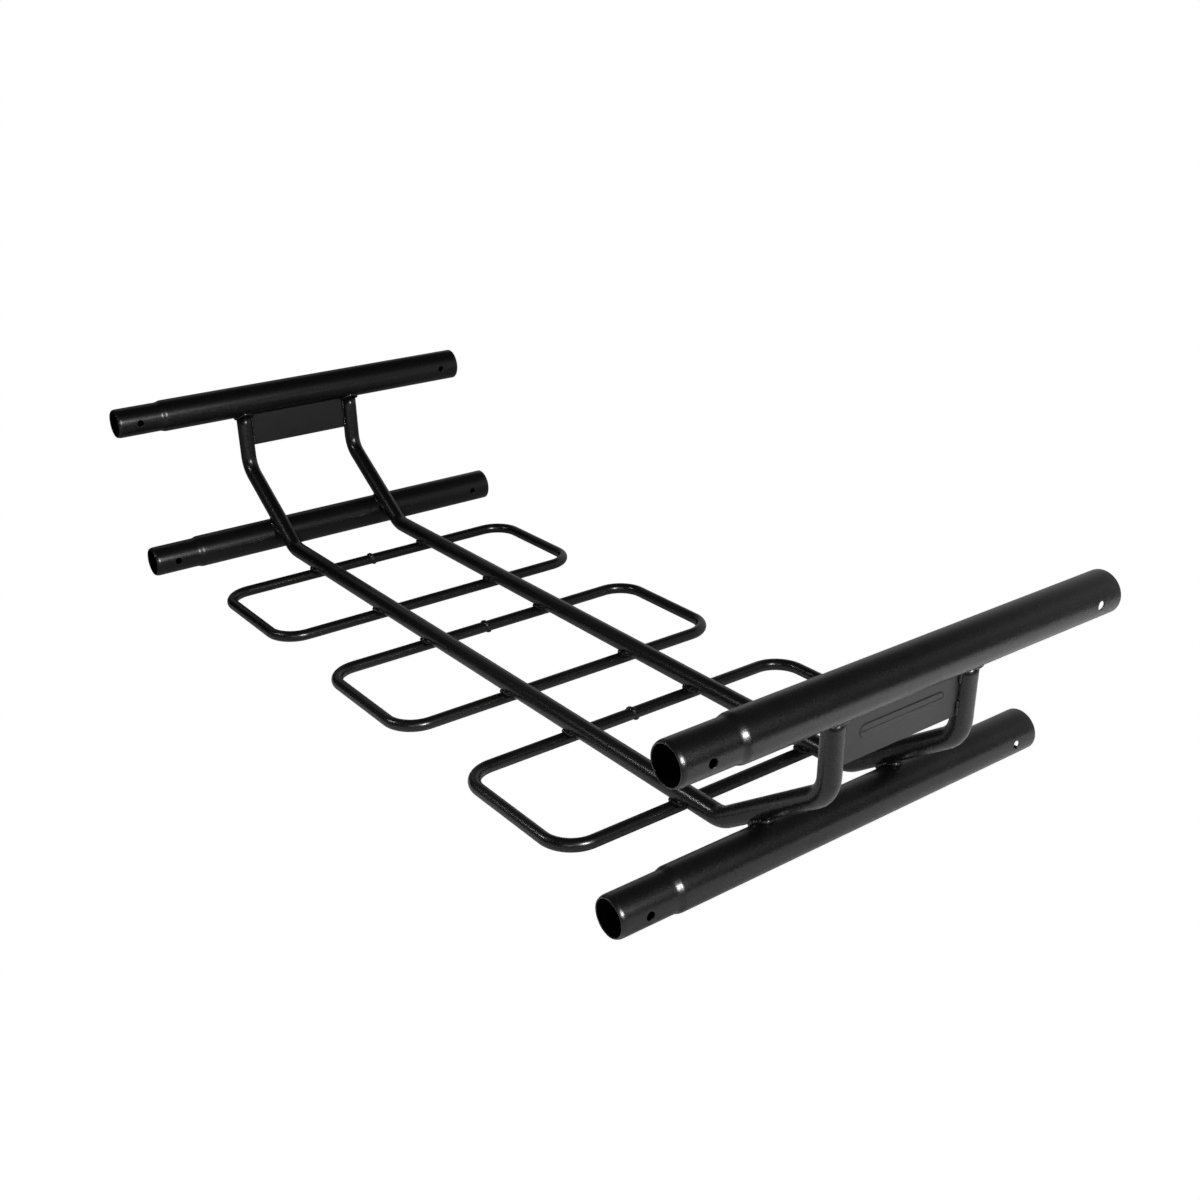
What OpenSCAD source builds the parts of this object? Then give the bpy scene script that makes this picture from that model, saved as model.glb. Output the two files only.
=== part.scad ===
// Extension section of a roof cargo basket: a shallow tray welded from round steel tube.
// Four rails run along Y. Each has a swaged spigot at its -Y end and a plain socket at its +Y end,
// so that sections plug into one another and are bolted through the cross holes.
// Two bent cross tubes carry the rails, and three rod loops under them make the floor.
// Origin: centre of the tray, on the plane that the loops' undersides lie in. +Z up.

/* [Rails] */
// Outside diameter of a rail
rail_d = 35; // [30:0.5:40]
// Wall thickness of a rail
rail_wall = 1.3; // [1:0.1:2]
// Length of a rail, from spigot tip to plain end
rail_l = 430; // [380:1:500]
// Outside diameter of the swaged spigot
spigot_d = 32.1; // [26:0.1:35]
// Length of the spigot from its tip to the start of the shoulder
spigot_l = 48; // [40:1:60]
// Length of the shoulder between spigot and full diameter
shoulder_l = 7; // [4:0.5:12]
// Length over which the spigot's lip curls inwards
lip_l = 4; // [2:0.5:6]
// How far the lip curls inwards
lip_drop = 1; // [0.4:0.1:1.5]
// Diameter of the cross holes for the joining bolts
bolt_d = 7; // [5:0.5:9]
// Distance of a cross hole from its end of the rail
bolt_inset = 24; // [18:1:28]

/* [Tray] */
// Overall width, over the outsides of the upper rails
tray_w = 990.6; // [960:0.2:1100]
// Height of the upper rails' axes above the cross tubes' floor axis
side_h = 148; // [135:1:170]
// Distance up the slope from the floor corner to the lower rail
rail_up_slope = 45.3; // [40:0.1:60]
// How far a part sinks into the one it is welded on
weld_sink = 0.3; // [0.2:0.1:0.5]

/* [Cross tubes] */
// Outside diameter of a cross tube
tube_d = 17.2; // [14:0.2:20]
// Wall thickness of a cross tube
tube_wall = 1.5; // [1:0.1:2.5]
// Distance between the two cross tubes' axes
tube_pitch = 134.8; // [120:0.2:150]
// Distance of an upright's top inboard of its rail's axis
upright_inset = 3.6; // [0:0.2:6]
// Distance of the knee inboard of the upper rail's axis
knee_inset = 5.8; // [4:0.2:8]
// Height of the knee above the floor axis
knee_h = 71.1; // [65:0.1:75]
// Bend radius at the knee
knee_r = 26; // [22:1:30]
// Half of the floor's width, from the middle to the corner
floor_half = 365.7; // [355:0.1:375]
// Bend radius at the floor corner
floor_r = 28; // [20:1:70]

/* [Floor loops] */
// Diameter of the loops' rod
rod_d = 11; // [8:0.5:12]
// Width of a loop along X, between the axes of its long sides
loop_w = 144.4; // [120:0.2:160]
// Length of a loop along Y, between the axes of its short sides
loop_l = 355.6; // [300:0.2:370]
// Corner radius of a loop, at the rod's axis
loop_r = 27.5; // [20:0.5:40]
// Distance between neighbouring loops
loop_pitch = 241.4; // [200:0.2:245]

/* [Side plates] */
// Thickness of a side plate
plate_t = 2.5; // [1.5:0.1:4]
// Height of the right plate's lower edge above the floor axis
plate_low_right = 90; // [88:0.5:100]
// Height of the left plate's lower edge above the floor axis
plate_low_left = 96; // [88:0.5:100]

/* [Welds] */
// Leg of the fillets that join tube to tube
fillet_leg = 2.2; // [1:0.1:3]
// Leg of the fillets that join rod to tube
rod_leg = 1.8; // [1:0.1:2.5]
// Leg of the fillets along a side plate
plate_leg = 1.5; // [1:0.1:2]
// Length of each weld along a side plate's edge
tack_l = 12; // [8:1:16]
// Outside diameter of the bead round a loop's butt joint
bead_d = 14; // [12.5:0.5:16]

/* [Hidden] */
$fn = 64;

right = 1;
left = -1;
coat = "#1c1c1b";
bead_coat = "#242423";

rail_radius = rail_d / 2;
spigot_radius = spigot_d / 2;
tube_radius = tube_d / 2;
rod_radius = rod_d / 2;

floor_z = rod_d + tube_radius - weld_sink;   // axis of the cross tubes' floor stretch
upper_x = tray_w / 2 - rail_radius;
upper_z = floor_z + side_h;
top_x = upper_x - upright_inset;
knee_x = upper_x - knee_inset;
knee_z = floor_z + knee_h;
slope = atan2(knee_h, knee_x - floor_half);
upright_lean = atan2(top_x - knee_x, upper_z - knee_z);

// the lower rail hangs under the slope, its surface on the tube's
hang = rail_radius + tube_radius - weld_sink;
lower_x = floor_half + rail_up_slope * cos(slope) + hang * sin(slope);
lower_z = floor_z + rail_up_slope * sin(slope) - hang * cos(slope);

rim_r = rail_wall / 2;          // the spigot's rim is rounded right over
end_break = 0.3;                // the plain end's edges are broken by this much
lip_turn = 2 * atan(lip_drop / lip_l);
lip_arc = lip_l / sin(lip_turn);
lip_steps = 4;
shoulder_steps = 8;
rim_steps = 6;
seam_lap = 0.4;                 // how far a straight stretch runs into a bend
seam_step = 0.08;               // how much a bend's wall stands proud of the straight's
spare = 1;                      // how far a cutter runs past what it cuts
crossing_l = 2 * tube_d;        // length of rod that a seam under a cross tube is cut from
bead_roll = 1.9;                // radius of the roll that a butt bead is made of
bead_low = 1;                   // the butt bead is dressed away below this height
tack_inset = 1;                 // distance of a plate's welds from its lower edge and the rail

// ---- rails ----

// radius of the outside along the shoulder, with t from 0 at the spigot to 1 at full diameter
function shoulder_at(t) = spigot_radius + (rail_radius - spigot_radius) * (1 - cos(180 * t)) / 2;

// [radius, distance from the tip] down the outside of the swaged end
function lip_points(inset) = [
    for (i = [lip_steps:-1:0]) let (a = lip_turn * i / lip_steps)
        [spigot_radius - lip_arc * (1 - cos(a)) - inset * cos(a),
         lip_l - lip_arc * sin(a) + inset * sin(a) + rim_r * (1 - sin(lip_turn))]
];
function shoulder_points(inset) = [
    for (i = [0:shoulder_steps]) let (t = i / shoulder_steps)
        [shoulder_at(t) - inset, spigot_l + shoulder_l * t]
];
// and round the rim, from the inside of the wall to the outside
function rim_points() = [
    for (i = [1:rim_steps - 1]) let (a = 180 * i / rim_steps - lip_turn)
        [spigot_radius - lip_drop - rim_r * cos(lip_turn) - rim_r * cos(a), rim_r * (1 - sin(a))]
];
function reversed(points) = [for (i = [len(points) - 1:-1:0]) points[i]];

rail_outside = concat(
    lip_points(0),
    shoulder_points(0),
    [[rail_radius, rail_l - end_break], [rail_radius - end_break, rail_l]]
);
rail_inside = concat(
    lip_points(rail_wall),
    shoulder_points(rail_wall),
    [[rail_radius - rail_wall, rail_l - end_break], [rail_radius - rail_wall + end_break, rail_l]]
);

// one rail along Y with its spigot at -Y, centred on its own length; its round walls close on the
// underside, a quarter turn away from the bolt holes
module rail() {
    difference() {
        translate([0, -rail_l / 2, 0])
            rotate([-90, 0, 0])
                rotate([0, 0, 90])
                    rotate_extrude($fn = 96)
                        polygon(concat(rail_outside, reversed(rail_inside), rim_points()));
        for (y = [bolt_inset - rail_l / 2, rail_l / 2 - bolt_inset])
            translate([0, y, 0])
                rotate([0, 90, 0])
                    cylinder(h = rail_d + 2 * spare, d = bolt_d, center = true, $fn = 32);
    }
}

module at_upper_rail(side) {
    translate([side * upper_x, 0, upper_z]) children();
}

module at_lower_rail(side) {
    translate([side * lower_x, 0, lower_z]) children();
}

// a solid bar along Y the size of a rail, grown by a margin
module rail_bar(grow = 0) {
    rotate([90, 0, 0])
        cylinder(h = rail_l, r = rail_radius + grow, center = true, $fn = 96);
}

module upper_rail_right() { color(coat) at_upper_rail(right) rail(); }
module upper_rail_left() { color(coat) at_upper_rail(left) rail(); }
module lower_rail_right() { color(coat) at_lower_rail(right) rail(); }
module lower_rail_left() { color(coat) at_lower_rail(left) rail(); }

// ---- cross tubes ----

// the tube's axis in XZ, from one upper rail down, across and up to the other
tube_path = [
    [-top_x, upper_z], [-knee_x, knee_z], [-floor_half, floor_z],
    [floor_half, floor_z], [knee_x, knee_z], [top_x, upper_z]
];
bend_radii = [0, knee_r, floor_r, floor_r, knee_r, 0];

// index of the path's upright, slope and floor stretches
function upright_of(side) = side > 0 ? 4 : 0;
function slope_of(side) = side > 0 ? 3 : 1;
floor_stretch = 2;

function heading(p, q) = atan2(q[1] - p[1], q[0] - p[0]);
function turn_at(i) = heading(tube_path[i], tube_path[i + 1]) - heading(tube_path[i - 1], tube_path[i]);
function is_bend(i) = i > 0 && i < len(tube_path) - 1;
function cut_back(i) = is_bend(i) ? bend_radii[i] * tan(turn_at(i) / 2) : 0;

// a straight round bar from point i to the next one, between its bends, hollow if a bore is given
module straight_bar(i, radius, bore = 0) {
    p = tube_path[i];
    q = tube_path[i + 1];
    before = is_bend(i) ? cut_back(i) - seam_lap : 0;
    after = is_bend(i + 1) ? cut_back(i + 1) - seam_lap : 0;
    long = norm(q - p) - before - after;
    translate([p[0], 0, p[1]])
        rotate([0, -heading(p, q), 0])
            translate([before, 0, 0])
                rotate([0, 90, 0])
                    difference() {
                        cylinder(h = long, r = radius);
                        if (bore > 0) translate([0, 0, -spare]) cylinder(h = long + 2 * spare, r = bore);
                    }
}

// the hollow bend at point i, whose centre lies to the left of the path; its wall is a hair
// thicker than the straights', so that their ends lie inside it
module bend(i, radius, bore) {
    before = heading(tube_path[i - 1], tube_path[i]);
    translate([tube_path[i][0], 0, tube_path[i][1]])
        rotate([0, -before, 0])
            translate([-cut_back(i), 0, bend_radii[i]])
                rotate([90, 0, 0])
                    rotate([0, 0, -90])
                        rotate_extrude(angle = turn_at(i), $fn = 128)
                            translate([bend_radii[i], 0])
                                difference() {
                                    circle(r = radius + seam_step);
                                    circle(r = bore - seam_step);
                                }
}

// one cross tube, its tops coped to sit on the upper rails
module cross_tube(y) {
    bore = tube_radius - tube_wall;
    translate([0, y, 0]) {
        for (side = [right, left])
            difference() {
                straight_bar(upright_of(side), tube_radius, bore);
                at_upper_rail(side) rail_bar();
            }
        for (i = [slope_of(left), floor_stretch, slope_of(right)]) straight_bar(i, tube_radius, bore);
        for (i = [1:len(tube_path) - 2]) bend(i, tube_radius, bore);
    }
}

module cross_tube_front() { color(coat) cross_tube(-tube_pitch / 2); }
module cross_tube_rear() { color(coat) cross_tube(tube_pitch / 2); }

// ---- floor loops ----

module rod_along_y(x, radius = rod_radius, long = loop_l - 2 * loop_r) {
    translate([x, 0, rod_radius])
        rotate([90, 0, 0])
            cylinder(h = long, r = radius, center = true, $fn = 48);
}

module rod_along_x(y) {
    translate([0, y, rod_radius])
        rotate([0, 90, 0])
            cylinder(h = loop_w - 2 * loop_r, r = rod_radius, center = true, $fn = 48);
}

module loop_corner(sx, sy) {
    start = sx * sy > 0 ? (sx > 0 ? 0 : 180) : (sx > 0 ? 270 : 90);
    translate([sx * (loop_w / 2 - loop_r), sy * (loop_l / 2 - loop_r), rod_radius])
        rotate([0, 0, start])
            rotate_extrude(angle = 90, $fn = 96)
                translate([loop_r, 0])
                    circle(r = rod_radius, $fn = 48);
}

module floor_loop(place) {
    translate([place * loop_pitch, 0, 0]) {
        for (s = [right, left]) {
            rod_along_y(s * loop_w / 2);
            rod_along_x(s * loop_l / 2);
            for (t = [right, left]) loop_corner(s, t);
        }
    }
}

module floor_loop_left() { color(coat) floor_loop(left); }
module floor_loop_center() { color(coat) floor_loop(0); }
module floor_loop_right() { color(coat) floor_loop(right); }

// ---- side plates ----

// puts its children in the plane of the two uprights on one side, origin at the knee
module at_knee(side) {
    translate([side * knee_x, 0, knee_z])
        rotate([0, side * upright_lean, 0])
            children();
}

plate_half = tube_pitch / 2 - tube_radius;
plate_top = upper_z - knee_z - rail_radius;

module side_plate(side, low) {
    bottom = low - knee_h;
    difference() {
        at_knee(side)
            translate([-plate_t / 2, -plate_half, bottom])
                cube([plate_t, 2 * plate_half, plate_top + spare - bottom]);
        at_upper_rail(side) rail_bar();
    }
}

module side_plate_right() { color(coat) side_plate(right, plate_low_right); }
module side_plate_left() { color(coat) side_plate(left, plate_low_left); }

// ---- welds ----

module each_tube() {
    for (y = [-tube_pitch / 2, tube_pitch / 2]) translate([0, y, 0]) children();
}

// the seam between a tube's straight stretch and a rail placed on it
module rail_seam(stretch) {
    each_tube()
        difference() {
            intersection() {
                straight_bar(stretch, tube_radius + fillet_leg);
                children(0);
            }
            straight_bar(stretch, tube_radius);
            children(1);
        }
}

module upright_welds(side) {
    rail_seam(upright_of(side)) {
        at_upper_rail(side) rail_bar(fillet_leg);
        at_upper_rail(side) rail_bar();
    }
}

module lower_rail_welds(side) {
    rail_seam(slope_of(side)) {
        at_lower_rail(side) rail_bar(fillet_leg);
        at_lower_rail(side) rail_bar();
    }
}

// the seams where one loop's long sides pass under the cross tubes
module loop_welds(place) {
    for (s = [right, left])
        each_tube()
            difference() {
                intersection() {
                    straight_bar(floor_stretch, tube_radius + rod_leg);
                    rod_along_y(place * loop_pitch + s * loop_w / 2, rod_radius + rod_leg, crossing_l);
                }
                straight_bar(floor_stretch, tube_radius);
                rod_along_y(place * loop_pitch + s * loop_w / 2, rod_radius, crossing_l + 2 * spare);
            }
}

// the bead round the joint that closes a loop, in the middle of its left long side; its underside
// is dressed away, so that the loop lies flat
module butt_weld(place) {
    difference() {
        translate([place * loop_pitch - loop_w / 2, 0, rod_radius])
            rotate([90, 0, 0])
                rotate_extrude()
                    translate([bead_d / 2 - bead_roll, 0])
                        circle(r = bead_roll, $fn = 24);
        rod_along_y(place * loop_pitch - loop_w / 2);
        translate([place * loop_pitch - loop_w / 2 - bead_d, -bead_d, bead_low - bead_d])
            cube([2 * bead_d, 2 * bead_d, bead_d]);
    }
}

// short fillets at the top and bottom of a plate's two edges
module plate_welds(side, low) {
    fillet_w = plate_t + 2 * plate_leg;
    lowest = low - knee_h + tack_inset;
    highest = plate_top - tack_l - 2 * tack_inset;
    at_knee(side)
        for (end = [right, left], z = [lowest, highest])
            translate([0, end * tube_pitch / 2, z])
                difference() {
                    intersection() {
                        cylinder(h = tack_l, r = tube_radius + plate_leg);
                        translate([-fillet_w / 2, end > 0 ? -tube_d : 0, 0])
                            cube([fillet_w, tube_d, tack_l]);
                    }
                    translate([0, 0, -spare])
                        cylinder(h = tack_l + 2 * spare, r = tube_radius);
                    translate([-plate_t / 2, end > 0 ? -tube_d : tube_radius, -spare])
                        cube([plate_t, tube_d - tube_radius, tack_l + 2 * spare]);
                }
}

module upright_welds_right() { color(bead_coat) upright_welds(right); }
module upright_welds_left() { color(bead_coat) upright_welds(left); }
module lower_rail_welds_right() { color(bead_coat) lower_rail_welds(right); }
module lower_rail_welds_left() { color(bead_coat) lower_rail_welds(left); }
module loop_welds_left() { color(bead_coat) loop_welds(left); }
module loop_welds_center() { color(bead_coat) loop_welds(0); }
module loop_welds_right() { color(bead_coat) loop_welds(right); }
module loop_butt_weld_left() { color(bead_coat) butt_weld(left); }
module loop_butt_weld_center() { color(bead_coat) butt_weld(0); }
module loop_butt_weld_right() { color(bead_coat) butt_weld(right); }
module plate_welds_right() { color(bead_coat) plate_welds(right, plate_low_right); }
module plate_welds_left() { color(bead_coat) plate_welds(left, plate_low_left); }

upper_rail_right();
upper_rail_left();
lower_rail_right();
lower_rail_left();
cross_tube_front();
cross_tube_rear();
floor_loop_left();
floor_loop_center();
floor_loop_right();
side_plate_right();
side_plate_left();
upright_welds_right();
upright_welds_left();
lower_rail_welds_right();
lower_rail_welds_left();
loop_welds_left();
loop_welds_center();
loop_welds_right();
loop_butt_weld_left();
loop_butt_weld_center();
loop_butt_weld_right();
plate_welds_right();
plate_welds_left();
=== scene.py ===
"""Looks of the roof cargo basket extension: powder-coated tube, rod, plate and weld metal on the CAD frame."""
import math
import random

import bmesh
import bpy
from mathutils import Matrix, Vector, noise


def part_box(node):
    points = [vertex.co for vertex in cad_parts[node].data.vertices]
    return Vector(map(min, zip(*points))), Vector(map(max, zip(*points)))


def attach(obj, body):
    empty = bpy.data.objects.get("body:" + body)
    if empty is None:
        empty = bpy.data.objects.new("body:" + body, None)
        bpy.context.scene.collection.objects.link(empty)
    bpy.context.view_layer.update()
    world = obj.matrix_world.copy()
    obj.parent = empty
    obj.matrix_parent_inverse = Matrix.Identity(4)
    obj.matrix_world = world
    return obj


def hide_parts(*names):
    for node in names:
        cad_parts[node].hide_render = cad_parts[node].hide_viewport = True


MM = 0.001
TAU = 2 * math.pi

# Sizes in millimetres that the CAD part states, which a node's box does not give.
SPIGOT_R = 16.05
SPIGOT_L = 48.0
SHOULDER_L = 7.0
LIP_L = 4.0
LIP_DROP = 1.0
RAIL_WALL = 1.3
BOLT_R = 3.5
BOLT_INSET = 24.0
TUBE_R = 8.6
TUBE_WALL = 1.5
ROD_R = 5.5
LOOP_CORNER_R = 27.5
UPRIGHT_INSET = 3.6
KNEE_INSET = 5.8
KNEE_H = 71.1
KNEE_R = 26.0
FLOOR_HALF = 365.7
FLOOR_R = 28.0
PLATE_T = 2.5
SINK = 0.3

SIDES = {"right": 1, "left": -1}
PLACES = ("left", "center", "right")
CROSS = ("front", "rear")


# ---- mesh helpers ----


def add_piece(name, verts, faces, materials, nodes, face_material=None):
    """A smooth-shaded mesh, given in millimetres, that rides on the root body and stands for CAD nodes."""
    mesh = bpy.data.meshes.new(name)
    mesh.from_pydata([tuple(c * MM for c in v) for v in verts], [], faces)
    for material in materials:
        mesh.materials.append(material)
    mesh.polygons.foreach_set("use_smooth", [True] * len(faces))
    if face_material:
        mesh.polygons.foreach_set("material_index", face_material)
    tidy = bmesh.new()
    tidy.from_mesh(mesh)
    bmesh.ops.recalc_face_normals(tidy, faces=tidy.faces)
    tidy.to_mesh(mesh)
    tidy.free()
    mesh.update()
    obj = bpy.data.objects.new(name, mesh)
    bpy.context.scene.collection.objects.link(obj)
    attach(obj, "root")
    if nodes:
        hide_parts(*nodes)
    return obj


def bridge(ring_a, ring_b, flip=False):
    """Quads between two closed rings of vertex numbers of the same length."""
    n = len(ring_a)
    quads = [(ring_a[i], ring_a[(i + 1) % n], ring_b[(i + 1) % n], ring_b[i]) for i in range(n)]
    return [tuple(reversed(q)) for q in quads] if flip else quads


def box_mm(node):
    """A CAD node's lowest and highest corner, in millimetres."""
    low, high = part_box(node)
    return low / MM, high / MM


def in_space(flat, y=0.0):
    """A point or a direction in XZ, as one in space."""
    return Vector((flat.x, y, flat.y))


def rail_axis(node):
    """Where a rail's axis crosses XZ, and the rail's outside radius."""
    low, high = box_mm(node)
    return ((low[0] + high[0]) / 2, (low[2] + high[2]) / 2), (high[0] - low[0]) / 2


def cross_tube_ys():
    """Where the front and the rear cross tube lie along Y."""
    boxes = [box_mm(f"cross_tube_{end}") for end in CROSS]
    return [(low[1] + high[1]) / 2 for low, high in boxes]


# ---- rails ----

RAIL_SEGMENTS = 96
RIM_R = RAIL_WALL / 2
END_BREAK = 0.3                  # the plain end's edges are broken by this much
END_RUN = 8.0                    # the last ring before a plain end
SPIGOT_RINGS = (36.0, 44.0)      # rings between a spigot's bolt hole and its shoulder
SHOULDER_STEPS = 14
RUN_START = 60.0                 # the even rings of the full wall start here and end as far from the plain end
RUN_STEPS = 12
PATCH = 5                        # a bolt hole's square patch reaches this many cells from the hole's middle
PATCH_BLENDS = (0.3, 0.6, 0.85, 1.0)     # how far each ring of a patch has gone from square to round
HOLE_ROUND = 0.45                # the coat rounds a hole's edge by about this much
HOLE_STEPS = 4


def lip_profile(inset, steps=10):
    """[distance from the spigot's tip, radius] from the lip's end to the full spigot."""
    turn = 2 * math.atan(LIP_DROP / LIP_L)
    arc = LIP_L / math.sin(turn)
    start = LIP_L + RIM_R * (1 - math.sin(turn))
    return [
        (start - (arc - inset) * math.sin(a), SPIGOT_R - arc * (1 - math.cos(a)) - inset * math.cos(a))
        for a in (turn * i / steps for i in range(steps, -1, -1))
    ]


def rim_profile(steps=8):
    """Round the rim of the lip, from the inside of the wall to the outside."""
    turn = 2 * math.atan(LIP_DROP / LIP_L)
    middle = SPIGOT_R - LIP_DROP - RIM_R * math.cos(turn)
    return [
        (RIM_R * (1 - math.sin(a)), middle - RIM_R * math.cos(a))
        for a in (math.pi * i / steps - turn for i in range(1, steps))
    ]


def hole_stations(at, radius):
    """Distances from the tip at which a bolt hole's patch has its rings."""
    reach = radius * math.sin(TAU * PATCH / RAIL_SEGMENTS)
    return [at + reach * k / PATCH for k in range(-PATCH, PATCH + 1)]


def wall_profile(inset, radius_full, length):
    """[distance, radius, hole number or None] along one side of a rail's wall, from lip to plain end."""
    points = [(s, r, None) for s, r in lip_profile(inset)]
    points += [(s, SPIGOT_R - inset, 0) for s in hole_stations(BOLT_INSET, SPIGOT_R)]
    points += [(s, SPIGOT_R - inset, None) for s in SPIGOT_RINGS]
    for i in range(SHOULDER_STEPS + 1):
        rise = (1 - math.cos(math.pi * i / SHOULDER_STEPS)) / 2
        radius = SPIGOT_R - inset + (radius_full - SPIGOT_R + inset) * rise
        points.append((SPIGOT_L + SHOULDER_L * i / SHOULDER_STEPS, radius, None))
    run = length - 2 * RUN_START
    points += [(RUN_START + run * i / RUN_STEPS, radius_full, None) for i in range(RUN_STEPS + 1)]
    points += [(s, radius_full, 1) for s in hole_stations(length - BOLT_INSET, radius_full)]
    points += [(length - END_RUN, radius_full, None)]
    return points


def end_break(radius, towards, length, steps=4):
    """The broken edge of the plain end, from the wall's surface to the end face."""
    return [
        (length - END_BREAK * (1 - math.sin(a)), radius + towards * END_BREAK * (1 - math.cos(a)), None)
        for a in (math.pi / 2 * i / steps for i in range(steps + 1))
    ]


def rail_mesh(axis_x, axis_z, y_low, length, radius):
    """Vertices, faces and face materials of a rail: skin, ends, bore, and two bolt holes through both walls."""
    outer = wall_profile(0, radius, length) + end_break(radius, -1, length)
    inner = wall_profile(RAIL_WALL, radius - RAIL_WALL, length) + end_break(radius - RAIL_WALL, 1, length)
    loop = outer + list(reversed(inner)) + [(s, r, None) for s, r in rim_profile()]
    # The inside, given a darker, duller coat as painted shade, starts past the plain end's broken edge and stops
    # just short of the lip's rim.
    dark_from, dark_to = len(outer) + 4, len(outer) + len(inner) - 2
    n = RAIL_SEGMENTS
    verts, faces, mats, rows = [], [], [], []

    def place(s, across, up):
        """Adds a vertex at distance s from the spigot's tip and gives its number."""
        verts.append((axis_x + across, y_low + s, axis_z + up))
        return len(verts) - 1

    patch_rows = {}
    for j, (s, r, hole) in enumerate(loop):
        if hole is not None:
            patch_rows.setdefault((hole, j > len(outer)), []).append(j)
    inside_patch = set()
    for js in patch_rows.values():
        for j in js[1:-1]:
            for k in range(-PATCH + 1, PATCH):
                inside_patch.add((j, k % n))
                inside_patch.add((j, (n // 2 + k) % n))
    for j, (s, r, _) in enumerate(loop):
        rows.append([
            None if (j, i) in inside_patch else place(s, r * math.cos(TAU * i / n), r * math.sin(TAU * i / n))
            for i in range(n)
        ])
    for j in range(len(loop)):
        a, b = rows[j], rows[(j + 1) % len(loop)]
        dark = dark_from <= j < dark_to
        in_patch = any(js[0] <= j < js[-1] for js in patch_rows.values())
        for i in range(n):
            near_hole = (i + PATCH) % (n // 2) < 2 * PATCH
            if in_patch and near_hole:
                continue
            k = (i + 1) % n
            faces.append((a[i], b[i], b[k], a[k]))
            mats.append(1 if dark else 0)
    origin = (axis_x, y_low, axis_z)
    for hole in (0, 1):
        for middle in (0, n // 2):
            rims = []
            for is_inner in (False, True):
                js = patch_rows[(hole, is_inner)]
                rims.append(hole_patch(verts, faces, mats, rows, js, middle, loop, is_inner, origin))
            bore = bridge(rims[0], rims[1], flip=middle == 0)
            faces.extend(bore)
            mats.extend([0] * len(bore))
    return verts, faces, mats


def hole_patch(verts, faces, mats, rows, js, middle, loop, is_inner, origin):
    """Fills the square round one end of a bolt hole with rings that turn into the hole. Gives its last ring."""
    js = list(reversed(js)) if is_inner else js
    n = RAIL_SEGMENTS
    columns = [(middle + k) % n for k in range(-PATCH, PATCH + 1)]
    edge = [rows[js[0]][c] for c in columns[:-1]]
    edge += [rows[j][columns[-1]] for j in js[:-1]]
    edge += [rows[js[-1]][c] for c in reversed(columns[1:])]
    edge += [rows[j][columns[0]] for j in reversed(js[1:])]
    radius = loop[js[0]][1]
    centre_s = (loop[js[0]][0] + loop[js[-1]][0]) / 2
    side = 1 if middle == 0 else -1
    start = [(verts[v][1] - origin[1] - centre_s, verts[v][2] - origin[2]) for v in edge]
    angles = [math.atan2(up, along) for along, up in start]
    rings = [edge]
    opening = BOLT_R + HOLE_ROUND
    # For each ring: how far it has gone from square to round, how far it has closed in, and how deep it lies.
    shapes = [(t, 0.0, 0.0) for t in PATCH_BLENDS]
    for q in range(1, HOLE_STEPS + 1):
        a = math.pi / 2 * q / HOLE_STEPS
        shapes.append((1.0, HOLE_ROUND * math.sin(a), HOLE_ROUND * (1 - math.cos(a))))
    for t, shrink, drop in shapes:
        ring = []
        for (along, up), angle in zip(start, angles):
            hole = opening - shrink
            y = along + (hole * math.cos(angle) - along) * t
            z = up + (hole * math.sin(angle) - up) * t
            x = math.sqrt(radius * radius - z * z) + (drop if is_inner else -drop)
            verts.append((origin[0] + side * x, origin[1] + centre_s + y, origin[2] + z))
            ring.append(len(verts) - 1)
        rings.append(ring)
    for a, b in zip(rings, rings[1:]):
        quads = bridge(a, b, flip=(middle == 0) == is_inner)
        faces.extend(quads)
        mats.extend([1 if is_inner else 0] * len(quads))
    return rings[-1]


def make_rail(level, side, coat, inside):
    """One rail, on its node's axis and as long as its node."""
    node = f"{level}_rail_{side}"
    low, high = box_mm(node)
    (x, z), radius = rail_axis(node)
    verts, faces, mats = rail_mesh(x, z, low[1], high[1] - low[1], radius)
    add_piece(f"rail_{level}_{side}", verts, faces, [coat, inside], [node], mats)


# ---- swept tube and rod ----

TUBE_SEGMENTS = 48
ROD_SEGMENTS = 40
TUBE_STEP = 12.0         # about how far apart the rings of a straight stretch are
ROD_STEP = 10.0
TUBE_BEND_STEP = 1.5     # and those of a bend
ROD_BEND_STEP = 1.2
COPE_CLEAR = 6.0         # a tube's path is cut this far outside the rail, and its end slides on from there
COPE_SINK = 0.2          # a tube's end lies this deep in the rail


def directions(path, closed):
    """The direction along a path at each of its points."""
    count = len(path)
    out = []
    for i in range(count):
        before = path[(i - 1) % count] if closed or i else path[0]
        after = path[(i + 1) % count] if closed or i < count - 1 else path[-1]
        out.append((after - before).normalized())
    return out


def sweep(path, normal, radius, segments, closed=False):
    """Rings of points round a path that lies in the plane square to `normal`."""
    rings = []
    for point, along in zip(path, directions(path, closed)):
        across = normal.cross(along).normalized()
        turns = [TAU * k / segments for k in range(segments)]
        rings.append([point + radius * (math.cos(a) * across + math.sin(a) * normal) for a in turns])
    return rings


def rings_to_mesh(rings, closed=False):
    """Vertices and faces of a skin over rings of equal length."""
    verts = [p for ring in rings for p in ring]
    size = len(rings[0])
    numbers = [list(range(i * size, (i + 1) * size)) for i in range(len(rings))]
    faces = []
    for a, b in zip(numbers, numbers[1:] + ([numbers[0]] if closed else [])):
        faces += bridge(a, b, flip=True)
    return verts, faces, numbers


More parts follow.
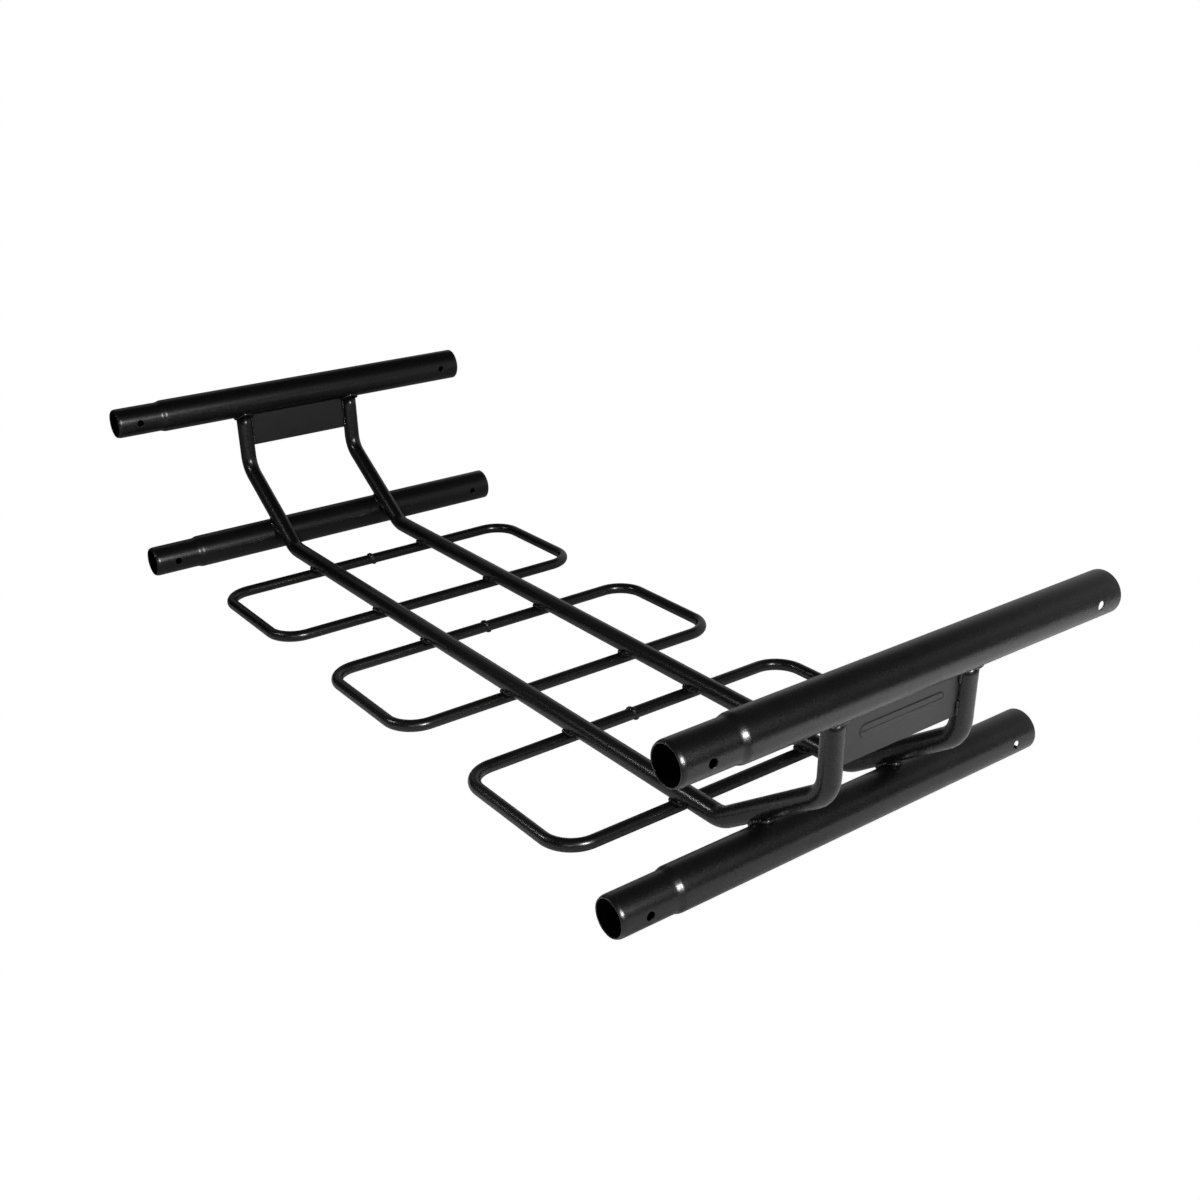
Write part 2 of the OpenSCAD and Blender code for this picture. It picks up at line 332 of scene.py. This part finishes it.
def filleted(points, radii, step):
    """A path through 2-D corner points with its corners rounded to the given radii."""
    out = []
    for i, point in enumerate(points):
        if not radii[i]:
            out.append(point)
            continue
        before = (point - points[i - 1]).normalized()
        after = (points[(i + 1) % len(points)] - point).normalized()
        turn = math.atan2(before.x * after.y - before.y * after.x, before.dot(after))
        start = point - before * radii[i] * math.tan(abs(turn) / 2)
        centre = start + Vector((-before.y, before.x)) * radii[i] * math.copysign(1, turn)
        count = max(6, round(abs(turn) * radii[i] / step))
        arm = start - centre
        for k in range(count + 1):
            cos, sin = math.cos(turn * k / count), math.sin(turn * k / count)
            out.append(centre + Vector((arm.x * cos - arm.y * sin, arm.x * sin + arm.y * cos)))
    return out


def divided(points, step, closed=False):
    """The same path with long straight runs cut into shorter ones."""
    out = []
    ends = points[1:] + ([points[0]] if closed else [])
    for a, b in zip(points, ends):
        count = max(1, round((b - a).length / step))
        out += [a + (b - a) * k / count for k in range(count)]
    return out if closed else out + [points[-1]]


def cross_tube_corners():
    """The cross tubes' axis in XZ, from the left upper rail to the right one."""
    floor_z = box_mm("cross_tube_front")[0][2] + TUBE_R
    (rail_x, rail_z), _ = rail_axis("upper_rail_right")
    right = [(rail_x - UPRIGHT_INSET, rail_z), (rail_x - KNEE_INSET, floor_z + KNEE_H), (FLOOR_HALF, floor_z)]
    return [Vector((-x, z)) for x, z in right] + [Vector((x, z)) for x, z in reversed(right)]


def cope(ring, heading, axis, reach):
    """Slides an end ring along its tube until each point is `reach` from the axis of the rail that it meets."""
    along = Vector((heading.x, heading.z)).normalized()
    out = []
    for p in ring:
        away = Vector((p.x - axis[0], p.z - axis[1]))
        b = away.dot(along)
        c = away.length_squared - reach * reach
        out.append(p + heading * (-b - math.sqrt(max(b * b - c, 0.0))))
    return out


def trimmed(points, corner, cut):
    """The same path with its first end moved to `cut` from the corner it started at."""
    points[0] = points[0] + (points[1] - points[0]).normalized() * cut
    while (points[1] - corner).length < cut + 1:
        del points[1]
    return points


def make_cross_tube(end, coat):
    """A bent tube with its own bore, coped at both ends to the upper rails."""
    node = f"cross_tube_{end}"
    y = cross_tube_ys()[CROSS.index(end)]
    corners = cross_tube_corners()
    bends = [0, KNEE_R, FLOOR_R, FLOOR_R, KNEE_R, 0]
    flat = divided(filleted(corners, bends, TUBE_BEND_STEP), TUBE_STEP)
    rails = [rail_axis(f"upper_rail_{side}") for side in ("left", "right")]
    cut = rails[0][1] + COPE_CLEAR
    flat = trimmed(flat, corners[0], cut)
    flat = trimmed(flat[::-1], corners[-1], cut)[::-1]
    path = [in_space(p, y) for p in flat]
    heads = [(path[0] - path[1]).normalized(), (path[-1] - path[-2]).normalized()]
    skins = []
    for radius in (TUBE_R, TUBE_R - TUBE_WALL):
        rings = sweep(path, Vector((0, 1, 0)), radius, TUBE_SEGMENTS)
        rings[0] = cope(rings[0], heads[0], rails[0][0], rails[0][1] - COPE_SINK)
        rings[-1] = cope(rings[-1], heads[1], rails[1][0], rails[1][1] - COPE_SINK)
        skins.append(rings_to_mesh(rings))
    verts = skins[0][0] + skins[1][0]
    shift = len(skins[0][0])
    inner = [[v + shift for v in ring] for ring in skins[1][2]]
    faces = skins[0][1] + [tuple(v + shift for v in reversed(f)) for f in skins[1][1]]
    faces += bridge(skins[0][2][0], inner[0]) + bridge(skins[0][2][-1], inner[-1], flip=True)
    add_piece(f"tube_cross_{end}", verts, faces, [coat], [node])


def make_loop(place, coat):
    """A closed rectangle of rod with round corners."""
    node = f"floor_loop_{place}"
    low, high = box_mm(node)
    left, right, front, rear = low.x + ROD_R, high.x - ROD_R, low.y + ROD_R, high.y - ROD_R
    corners = [Vector(c) for c in ((right, front), (right, rear), (left, rear), (left, front))]
    flat = divided(filleted(corners, [LOOP_CORNER_R] * 4, ROD_BEND_STEP), ROD_STEP, closed=True)
    path = [Vector((p.x, p.y, low.z + ROD_R)) for p in flat]
    rings = sweep(path, Vector((0, 0, 1)), ROD_R, ROD_SEGMENTS, closed=True)
    verts, faces, _ = rings_to_mesh(rings, closed=True)
    add_piece(f"rod_loop_{place}", verts, faces, [coat], [node])


# ---- side plates ----

PLATE_EDGE = 0.5         # the coat rounds the sheared edges by this much
PLATE_EDGE_STEPS = 4
PLATE_CORNER_R = 1.0
PLATE_REACH = 0.3        # the plate goes this much further than its node, at its ends and its top
FIELD_HALF = 43.0        # half the length of the plain pressed field on the right plate
FIELD_MARGIN = 15.0      # from the plate's long edges to the field
FIELD_CORNER_R = 5.0
# How far in and how far up each ring of the field's edge lies.
FIELD_EDGE = ((0.0, 0.0), (0.25, 0.08), (0.6, 0.3), (0.95, 0.52), (1.2, 0.6))


def rounded_rectangle(half_y, half_v, radius, runs=8, turns=5):
    """Points round a rectangle with rounded corners, the same number whatever its size."""
    corners = [(1, -1, -90), (1, 1, 0), (-1, 1, 90), (-1, -1, 180)]
    out = []
    for k, (sy, sv, start) in enumerate(corners):
        cy, cv = sy * (half_y - radius), sv * (half_v - radius)
        arc = [(cy + radius * math.cos(math.radians(start + 90 * q / turns)),
                cv + radius * math.sin(math.radians(start + 90 * q / turns))) for q in range(turns + 1)]
        out += arc
        ny, nv, nstart = corners[(k + 1) % 4]
        to_y = ny * (half_y - radius) + radius * math.cos(math.radians(nstart))
        to_v = nv * (half_v - radius) + radius * math.sin(math.radians(nstart))
        from_y, from_v = arc[-1]
        for q in range(1, runs):
            out.append((from_y + (to_y - from_y) * q / runs, from_v + (to_v - from_v) * q / runs))
    return out


def upright_line(side):
    """A point at the knee, the direction up the upright and the direction outward from it, in XZ."""
    corners = cross_tube_corners()
    knee, top = (corners[4], corners[5]) if side == "right" else (corners[1], corners[0])
    up = (top - knee).normalized()
    return knee, up, Vector((up.y, -up.x)) * SIDES[side]


def make_plate(side, coat):
    """A flat plate between two uprights; the right one has a plain raised field with nothing on it."""
    node = f"side_plate_{side}"
    low, high = box_mm(node)
    knee, up, outward = upright_line(side)
    half_y = (high[1] - low[1]) / 2 + PLATE_REACH
    bottom = (low[2] - knee.y) / up.y
    top = (high[2] - knee.y) / up.y + PLATE_REACH
    middle, half_v = (bottom + top) / 2, (top - bottom) / 2
    rings = []
    for k in range(PLATE_EDGE_STEPS + 1):
        a = math.pi / 2 * (1 - k / PLATE_EDGE_STEPS)
        inset, lift = PLATE_EDGE * (1 - math.cos(a)), PLATE_EDGE * (1 - math.sin(a))
        rings.append((half_y - inset, half_v - inset, PLATE_CORNER_R, lift - PLATE_T / 2))
    rings += [(*outline, -thick) for *outline, thick in rings[::-1]]
    if side == "right":
        for inward, lift in FIELD_EDGE:
            half_height = half_v - FIELD_MARGIN - inward
            rings.append((FIELD_HALF - inward, half_height, FIELD_CORNER_R, PLATE_T / 2 + lift))
    verts, numbers = [], []
    for half_length, half_height, radius, thick in rings:
        outline = rounded_rectangle(half_length, half_height, radius)
        numbers.append(list(range(len(verts), len(verts) + len(outline))))
        verts += [in_space(knee + up * (middle + v) + outward * thick, y) for y, v in outline]
    faces = [tuple(reversed(numbers[0]))]
    for a, b in zip(numbers, numbers[1:]):
        faces += bridge(a, b)
    faces.append(tuple(numbers[-1]))
    plate = add_piece(f"plate_{side}", verts, faces, [coat], [node])
    even = plate.modifiers.new("even_shading", "WEIGHTED_NORMAL")
    even.weight = 80


# ---- weld metal ----

RIPPLE = 1.9             # distance between the ripples of a bead
RIPPLE_SPREAD = 0.14     # how much one ripple's size may differ from the bead's
RIPPLE_LOW = 0.86        # a bead's size between ripples
RIPPLE_SWELL = 0.2       # how much it grows at a ripple's middle
LUMPS = 0.12             # how much the metal's surface wanders
LUMP_SCALE = 0.7
END_SIZE = 0.02          # the square of a bead's relative size at its very end
BEAD_SEGMENTS = 12
SEAM_STEPS = 96          # points round a seam
# How far a bead's middle stands off the surfaces that it joins, and its radius.
UPRIGHT_BEAD = (0.5, 2.2)
LOWER_RAIL_BEAD = (1.3, 2.3)
LOOP_BEAD = (1.0, 1.8)
PLATE_BEAD = (0.5, 1.5)
PLATE_BEAD_L = 12.0
PLATE_BEAD_STEPS = 24
PLATE_BEAD_LEAN = 0.8    # how much a plate bead faces along the plate, to 1 of facing away from it
UPRIGHT_START = 30.0     # a place on the upright, above its knee
UPRIGHT_SPLAY = 6.0      # an upright's bead faces away from a point this far above its middle
BUTT_SINK = 0.5          # a butt bead's middle lies this deep in the rod
BUTT_R = 2.0
BUTT_WIDTH = 1.25        # its width to 1 of its height
BUTT_SEGMENTS = 16
BUTT_STEPS = 72
BUTT_LOW = 0.35          # the underside is dressed off at this height
# Every bead draws its ripples from a seed of its own.
UPRIGHT_SEED, LOWER_RAIL_SEED, LOOP_SEED, PLATE_SEED = 100, 200, 300, 500
BUTT_LEAN_SEED, BUTT_SEED = 400, 410


def bead(path, radius, outward, closed, seed, squash=1.0, segments=BEAD_SEGMENTS):
    """A rippled roll of weld metal along a path, with the direction away from the parts at each point."""
    draw = random.Random(seed)
    along = [0.0]
    for a, b in zip(path, path[1:]):
        along.append(along[-1] + (b - a).length)
    total = along[-1] + ((path[0] - path[-1]).length if closed else 0)
    ripples = max(2, round(total / RIPPLE))
    sizes = [1 + draw.uniform(-RIPPLE_SPREAD, RIPPLE_SPREAD) for _ in range(ripples + 1)]
    sizes[-1] = sizes[0] if closed else sizes[-1]
    rings = []
    for i, (point, tangent) in enumerate(zip(path, directions(path, closed))):
        where = along[i] / total * ripples
        k = min(int(where), ripples - 1)
        share = where - k
        swell = RIPPLE_LOW + RIPPLE_SWELL * math.sqrt(max(0.0, math.sin(math.pi * share)))
        size = radius * swell * (sizes[k] * (1 - share) + sizes[k + 1] * share)
        if not closed:
            to_end = min(along[i], total - along[i]) / radius
            size *= math.sqrt(max(END_SIZE, 1 - max(0.0, 1 - to_end) ** 2))
        out = outward[i] - tangent * outward[i].dot(tangent)
        out.normalize()
        side = tangent.cross(out)
        ring = []
        for q in range(segments):
            a = TAU * q / segments
            arm = out * math.cos(a) * size + side * math.sin(a) * size * squash
            rough = 1 + LUMPS * noise.noise((point + arm * 2) * LUMP_SCALE)
            ring.append(point + arm * rough)
        rings.append(ring)
    verts, faces, numbers = rings_to_mesh(rings, closed)
    if not closed:
        faces += [tuple(numbers[0]), tuple(reversed(numbers[-1]))]
    return verts, faces


def add_beads(name, beads, coat, node):
    """One piece made of several beads, which stands for one node of weld metal."""
    verts, faces = [], []
    for bead_verts, bead_faces in beads:
        shift = len(verts)
        verts += bead_verts
        faces += [tuple(v + shift for v in f) for f in bead_faces]
    add_piece(name, verts, faces, [coat], [node])


def upright_bead(side, y, seed):
    """The bead where an upright's coped top meets the upper rail."""
    offset, radius = UPRIGHT_BEAD
    axis, rail_r = rail_axis(f"upper_rail_{side}")
    knee, up, _ = upright_line(side)
    start, heading = in_space(knee + up * UPRIGHT_START, y), in_space(up)
    ring = sweep([start, start + heading], Vector((0, 1, 0)), TUBE_R + offset, SEAM_STEPS)[0]
    path = cope(ring, heading, axis, rail_r + offset)
    middle = sum(path, Vector()) / len(path)
    outward = [(p - middle - heading * UPRIGHT_SPLAY).normalized() for p in path]
    return bead(path, radius, outward, True, seed)


def crossing_bead(centre, tube_dir, other_dir, normal, other_r, sizes, seed):
    """The bead in the crevice round the place where a tube lies on a round bar that crosses under it."""
    offset, radius = sizes
    hang = TUBE_R + other_r - SINK
    widest = math.acos((hang - other_r - offset) / (TUBE_R + offset))
    path = []
    for k in range(SEAM_STEPS):
        turn = TAU * k / SEAM_STEPS
        phi = widest * math.sin(turn)
        reach = (other_r + offset) ** 2 - (hang - (TUBE_R + offset) * math.cos(phi)) ** 2
        t = math.copysign(math.sqrt(max(reach, 0.0)), math.cos(turn))
        across = math.cos(phi) * normal + math.sin(phi) * other_dir
        path.append(centre + (TUBE_R + offset) * across + t * tube_dir)
    arms = [p - centre - normal * TUBE_R for p in path]
    outward = [(arm - normal * arm.dot(normal)).normalized() for arm in arms]
    return bead(path, radius, outward, True, seed)


def slope_contact(side):
    """The tube's centre over the lower rail, the ways along the slope and to the rail, and the rail's radius."""
    corners = cross_tube_corners()
    knee, floor = (corners[4], corners[3]) if side == "right" else (corners[1], corners[2])
    axis, radius = rail_axis(f"lower_rail_{side}")
    slope = (knee - floor).normalized()
    over = floor + slope * (Vector(axis) - floor).dot(slope)
    return over, slope, (Vector(axis) - over).normalized(), radius


def make_upright_welds(side, coat):
    """The beads at the tops of one side's two uprights."""
    beads = [upright_bead(side, y, UPRIGHT_SEED + i + SIDES[side]) for i, y in enumerate(cross_tube_ys())]
    add_beads(f"bead_upright_{side}", beads, coat, f"upright_welds_{side}")


def make_lower_rail_welds(side, coat):
    """The beads where the two slopes of one side lie on the lower rail."""
    over, slope, to_rail, rail_r = slope_contact(side)
    beads = [
        crossing_bead(in_space(over, y), in_space(slope), Vector((0, 1, 0)), in_space(to_rail), rail_r,
                      LOWER_RAIL_BEAD, LOWER_RAIL_SEED + i + SIDES[side])
        for i, y in enumerate(cross_tube_ys())
    ]
    add_beads(f"bead_lower_rail_{side}", beads, coat, f"lower_rail_welds_{side}")


def loop_side_xs(place):
    """Where the axes of a loop's left and right long sides lie along X."""
    low, high = box_mm(f"floor_loop_{place}")
    return low[0] + ROD_R, high[0] - ROD_R


def make_loop_welds(place, coat):
    """The beads where a loop's two long sides pass under the two cross tubes."""
    floor_z = box_mm("cross_tube_front")[0][2] + TUBE_R
    beads = []
    for i, y in enumerate(cross_tube_ys()):
        for k, x in enumerate(loop_side_xs(place)):
            seed = LOOP_SEED + 10 * PLACES.index(place) + 2 * i + k
            beads.append(crossing_bead(Vector((x, y, floor_z)), Vector((1, 0, 0)), Vector((0, 1, 0)),
                                       Vector((0, 0, -1)), ROD_R, LOOP_BEAD, seed))
    add_beads(f"bead_loop_{place}", beads, coat, f"loop_welds_{place}")


def make_butt_weld(place, coat):
    """An uneven ring of weld metal round the rod, leaning along it, with its underside dressed away."""
    draw = random.Random(BUTT_LEAN_SEED + PLACES.index(place))
    x = loop_side_xs(place)[0]
    lean, phase = draw.uniform(1.3, 1.8), draw.uniform(-0.5, 0.3)
    path, outward = [], []
    for k in range(BUTT_STEPS):
        a = TAU * k / BUTT_STEPS
        out = Vector((math.cos(a), 0, math.sin(a)))
        drift = Vector((0, -lean * math.sin(a + phase), 0))
        path.append(Vector((x, 0, ROD_R)) + out * (ROD_R - BUTT_SINK) + drift)
        outward.append(out)
    seed = BUTT_SEED + PLACES.index(place)
    verts, faces = bead(path, BUTT_R, outward, True, seed, squash=BUTT_WIDTH, segments=BUTT_SEGMENTS)
    verts = [Vector((v.x, v.y, max(v.z, BUTT_LOW))) for v in verts]
    add_piece(f"bead_butt_{place}", verts, faces, [coat], [f"loop_butt_weld_{place}"])


def make_plate_welds(side, coat):
    """Short fillets on both faces of a side plate, at the bottom and the top of each upright's edge."""
    low, high = box_mm(f"plate_welds_{side}")
    knee, up, outward = upright_line(side)
    bottom, top = (low[2] - knee.y) / up.y, (high[2] - knee.y) / up.y
    offset, radius = PLATE_BEAD
    stand = PLATE_T / 2 + offset
    back = math.sqrt((TUBE_R + offset) ** 2 - stand ** 2)
    beads = []
    for i, y in enumerate(cross_tube_ys()):
        inward = -1 if y > 0 else 1
        for face in (1, -1):
            away = (in_space(outward) * face + Vector((0, inward * PLATE_BEAD_LEAN, 0))).normalized()
            for k, start in enumerate((bottom, top - PLATE_BEAD_L)):
                steps = [start + PLATE_BEAD_L * q / PLATE_BEAD_STEPS for q in range(PLATE_BEAD_STEPS + 1)]
                path = [in_space(knee + up * v + outward * stand * face, y + inward * back) for v in steps]
                beads.append(bead(path, radius, [away] * len(path), False, PLATE_SEED + 10 * i + 2 * k + face))
    add_beads(f"bead_plate_{side}", beads, coat, f"plate_welds_{side}")


# ---- materials ----


CLOUD_SCALE = 45.0       # the coat's slow clouds of colour
TOOTH_FINER = 2.6        # how many times finer than the orange peel the tooth over it is
TOOTH_SHARE = 0.35       # the tooth's height to 1 of the peel's


def node_tree(name):
    """A new material with its nodes, its links and its shader."""
    material = bpy.data.materials.new(name)
    material.use_nodes = True
    nodes, links = material.node_tree.nodes, material.node_tree.links
    return material, nodes, links, nodes["Principled BSDF"]


def noise_node(nodes, links, place, scale, detail=2.0, rough=0.5):
    """Noise over the object's own coordinates."""
    made = nodes.new("ShaderNodeTexNoise")
    made.inputs["Scale"].default_value = scale
    made.inputs["Detail"].default_value = detail
    made.inputs["Roughness"].default_value = rough
    links.new(place.outputs["Object"], made.inputs["Vector"])
    return made


def ramp_node(nodes, links, source, low, high, from_min=0.3, from_max=0.7):
    """Stretches a noise's middle range over low to high."""
    made = nodes.new("ShaderNodeMapRange")
    made.inputs["From Min"].default_value = from_min
    made.inputs["From Max"].default_value = from_max
    made.inputs["To Min"].default_value = low
    made.inputs["To Max"].default_value = high
    links.new(source, made.inputs["Value"])
    return made


def powder_coat(name, dark, light, roughness, grain, height, specular=0.5):
    """Satin black powder coat: clouded colour, uneven gloss, and orange peel with a finer tooth over it."""
    material, nodes, links, shader = node_tree(name)
    place = nodes.new("ShaderNodeTexCoord")
    cloud = noise_node(nodes, links, place, CLOUD_SCALE, 3.0)
    mix = nodes.new("ShaderNodeMix")
    mix.data_type = "RGBA"
    mix.inputs["A"].default_value = (*dark, 1)
    mix.inputs["B"].default_value = (*light, 1)
    shade = ramp_node(nodes, links, cloud.outputs["Fac"], 0, 1)
    links.new(shade.outputs["Result"], mix.inputs["Factor"])
    links.new(mix.outputs["Result"], shader.inputs["Base Color"])
    peel = noise_node(nodes, links, place, grain, 2.0, 0.55)
    tooth = noise_node(nodes, links, place, grain * TOOTH_FINER, 2.0, 0.6)
    gloss = ramp_node(nodes, links, peel.outputs["Fac"], roughness[0], roughness[1])
    links.new(gloss.outputs["Result"], shader.inputs["Roughness"])
    both = nodes.new("ShaderNodeMath")
    both.operation = "MULTIPLY_ADD"
    both.inputs[1].default_value = TOOTH_SHARE
    links.new(tooth.outputs["Fac"], both.inputs[0])
    links.new(peel.outputs["Fac"], both.inputs[2])
    bump = nodes.new("ShaderNodeBump")
    bump.inputs["Strength"].default_value = 1.0
    bump.inputs["Distance"].default_value = height
    links.new(both.outputs["Value"], bump.inputs["Height"])
    links.new(bump.outputs["Normal"], shader.inputs["Normal"])
    shader.inputs["Specular IOR Level"].default_value = specular
    return material


def rail_coat():
    """The coat outside the rails, with a full grain."""
    return powder_coat("coat_rail", (0.003, 0.003, 0.0029), (0.0055, 0.0055, 0.0053),
                       roughness=(0.26, 0.33), grain=900.0, height=0.00008)


def painted_shade_inside_coat():
    """Painted shade inside the rails: a nearly black coat, duller and darker than the outside's, with weak
    reflection.
    """
    return powder_coat("coat_inside_painted_shade", (0.0005, 0.0005, 0.0005), (0.001, 0.001, 0.001),
                       roughness=(0.6, 0.8), grain=700.0, height=0.00003, specular=0.1)


def tube_coat():
    """The cross tubes' coat, smoother than the rails'."""
    return powder_coat("coat_tube", (0.003, 0.003, 0.0029), (0.005, 0.005, 0.0048),
                       roughness=(0.25, 0.31), grain=900.0, height=0.000007)


def rod_coat():
    """The loops' coat, the smoothest."""
    return powder_coat("coat_rod", (0.003, 0.003, 0.0029), (0.005, 0.005, 0.0048),
                       roughness=(0.25, 0.31), grain=1000.0, height=0.000004)


def plate_coat():
    """The side plates' coat, duller and lighter than the tubes'."""
    return powder_coat("coat_plate", (0.004, 0.004, 0.0039), (0.007, 0.007, 0.0068),
                       roughness=(0.34, 0.42), grain=900.0, height=0.00008)


def weld_coat():
    """The coat over weld metal, the glossiest."""
    return powder_coat("coat_weld", (0.0035, 0.0035, 0.0034), (0.006, 0.006, 0.0058),
                       roughness=(0.2, 0.3), grain=900.0, height=0.00004)


# ---- stage, light and camera ----

FLOOR_REACH = 14.0
FLOOR_SIDES = 64
KEY_TARGET = (0.4, -0.1, 0.1)
# Each key and each wash: name, place, size, power.
KEYS = (
    ("key_right", (1.5, -0.15, 0.8), 0.24, 30.0),
    ("key_left", (-0.34, -0.74, 0.69), 0.1, 1.9),
    ("key_front", (1.35, -1.2, 0.75), (0.5, 0.35), 2.5),
)
WASHES = (
    ("wash_right", (0.82, 0.25, 0.5), 0.3, 4.6),
    ("wash_front", (0.2, -0.55, 0.55), 0.3, 3.6),
)
# Each wall, and the ceiling: name, place, what it faces, size, power.
WALLS = (
    ("wall_back", (-0.35, 1.05, 0.45), (-0.35, 0, 0.45), (3.3, 0.9), 4.0),
    ("wall_left", (-1.9, 0.4, 1.1), (0, 0.4, 1.1), (1.3, 1.0), 1.0),
    ("wall_front", (-0.7, -1.9, 0.6), (-0.7, 0, 0.6), (3.4, 1.2), 1.0),
    ("ceiling", (0, 0, 2.6), (0, 0, 0), (8.0, 8.0), 6.0),
)
# The camera at the photograph's viewing angle: its place, its three directions and its lens.
CAMERA_PLACE = (1.05035, -0.68487, 0.59175)
CAMERA_RIGHT = (0.599541, 0.800193, -0.015533)
CAMERA_UP = (-0.305723, 0.246912, 0.919548)
CAMERA_BACK = (0.739651, -0.546558, 0.392671)
CAMERA_LENS = 42.428
CAMERA_SENSOR = 36.0


def make_floor(name, height, seen, glow, tone):
    """A plain pale floor, far wider than the view: the sheet the camera sees or the one the coat mirrors."""
    mesh = bpy.data.meshes.new(name)
    turns = [TAU * k / FLOOR_SIDES for k in range(FLOOR_SIDES)]
    ring = [(FLOOR_REACH * math.cos(a), FLOOR_REACH * math.sin(a), height) for a in turns]
    mesh.from_pydata(ring, [], [tuple(range(FLOOR_SIDES))])
    material, nodes, links, shader = node_tree(name)
    place = nodes.new("ShaderNodeTexCoord")
    cloud = noise_node(nodes, links, place, 0.6, 2.0)
    shade = ramp_node(nodes, links, cloud.outputs["Fac"], tone, tone + 0.03)
    links.new(shade.outputs["Result"], shader.inputs["Base Color"])
    shader.inputs["Roughness"].default_value = 0.9
    shader.inputs["Specular IOR Level"].default_value = 0.0
    shader.inputs["Emission Color"].default_value = (1, 1, 1, 1)
    shader.inputs["Emission Strength"].default_value = glow
    mesh.materials.append(material)
    floor = bpy.data.objects.new(name, mesh)
    bpy.context.scene.collection.objects.link(floor)
    floor.visible_camera = seen
    floor.visible_glossy = not seen
    floor.visible_diffuse = not seen
    floor.visible_shadow = not seen


def area_light(name, place, target, size, power):
    """A soft light that the camera never sees; size is a disc's diameter, or a rectangle's width and height."""
    data = bpy.data.lights.new(name, "AREA")
    if isinstance(size, tuple):
        data.shape = "RECTANGLE"
        data.size, data.size_y = size
    else:
        data.shape = "DISK"
        data.size = size
    data.energy = power
    light = bpy.data.objects.new(name, data)
    light.location = place
    light.rotation_euler = (Vector(target) - Vector(place)).to_track_quat("-Z", "Y").to_euler()
    light.visible_camera = False
    bpy.context.scene.collection.objects.link(light)
    return light


def make_lights():
    """Keys for the sparkles and rims, washes that only light the floor, and dim walls and ceiling to mirror."""
    for name, place, size, power in KEYS:
        area_light(name, place, KEY_TARGET, size, power).visible_diffuse = False
    for name, place, size, power in WASHES:
        area_light(name, place, (place[0], place[1], 0), size, power).visible_glossy = False
    for name, place, target, size, power in WALLS:
        area_light(name, place, target, size, power)


def make_world():
    """White to the camera and dark to all else, so that the coat mirrors only the floor and the lights."""
    world = bpy.data.worlds.new("studio")
    bpy.context.scene.world = world
    world.use_nodes = True
    sky = world.node_tree.nodes["Background"]
    sky.inputs["Color"].default_value = (1, 1, 1, 1)
    sky.inputs["Strength"].default_value = 1.0
    world.cycles_visibility.diffuse = False
    world.cycles_visibility.glossy = False


def make_camera():
    """A camera at the photograph's viewing angle."""
    data = bpy.data.cameras.new("camera")
    data.sensor_width = CAMERA_SENSOR
    data.lens = CAMERA_LENS
    camera = bpy.data.objects.new("camera", data)
    turn = Matrix((CAMERA_RIGHT, CAMERA_UP, CAMERA_BACK)).transposed().to_4x4()
    camera.matrix_world = Matrix.Translation(CAMERA_PLACE) @ turn
    bpy.context.scene.collection.objects.link(camera)
    bpy.context.scene.camera = camera


# ---- the model ----


def make_model():
    """Every piece, each standing for the CAD node of the same part."""
    rail, inside, tube, rod, plate, weld = (
        # The inside coat is painted shade for the rails' bores.
        rail_coat(), painted_shade_inside_coat(), tube_coat(), rod_coat(), plate_coat(), weld_coat())
    for side in SIDES:
        make_rail("upper", side, rail, inside)
        make_rail("lower", side, rail, inside)
        make_plate(side, plate)
        make_upright_welds(side, weld)
        make_lower_rail_welds(side, weld)
        make_plate_welds(side, weld)
    for end in CROSS:
        make_cross_tube(end, tube)
    for place in PLACES:
        make_loop(place, rod)
        make_loop_welds(place, weld)
        make_butt_weld(place, weld)


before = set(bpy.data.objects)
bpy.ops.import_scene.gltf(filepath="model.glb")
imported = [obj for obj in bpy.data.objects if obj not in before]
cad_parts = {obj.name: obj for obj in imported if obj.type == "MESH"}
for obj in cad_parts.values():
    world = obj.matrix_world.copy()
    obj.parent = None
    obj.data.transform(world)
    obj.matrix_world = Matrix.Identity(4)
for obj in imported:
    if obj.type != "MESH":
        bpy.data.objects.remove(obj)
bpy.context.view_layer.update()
make_model()
make_floor("floor", height=-0.0004, seen=True, glow=1.0, tone=0.86)
make_floor("floor_mirrored", height=-0.0002, seen=False, glow=0.0, tone=0.84)
make_lights()
make_world()
make_camera()
bpy.context.scene.view_settings.view_transform = "Standard"
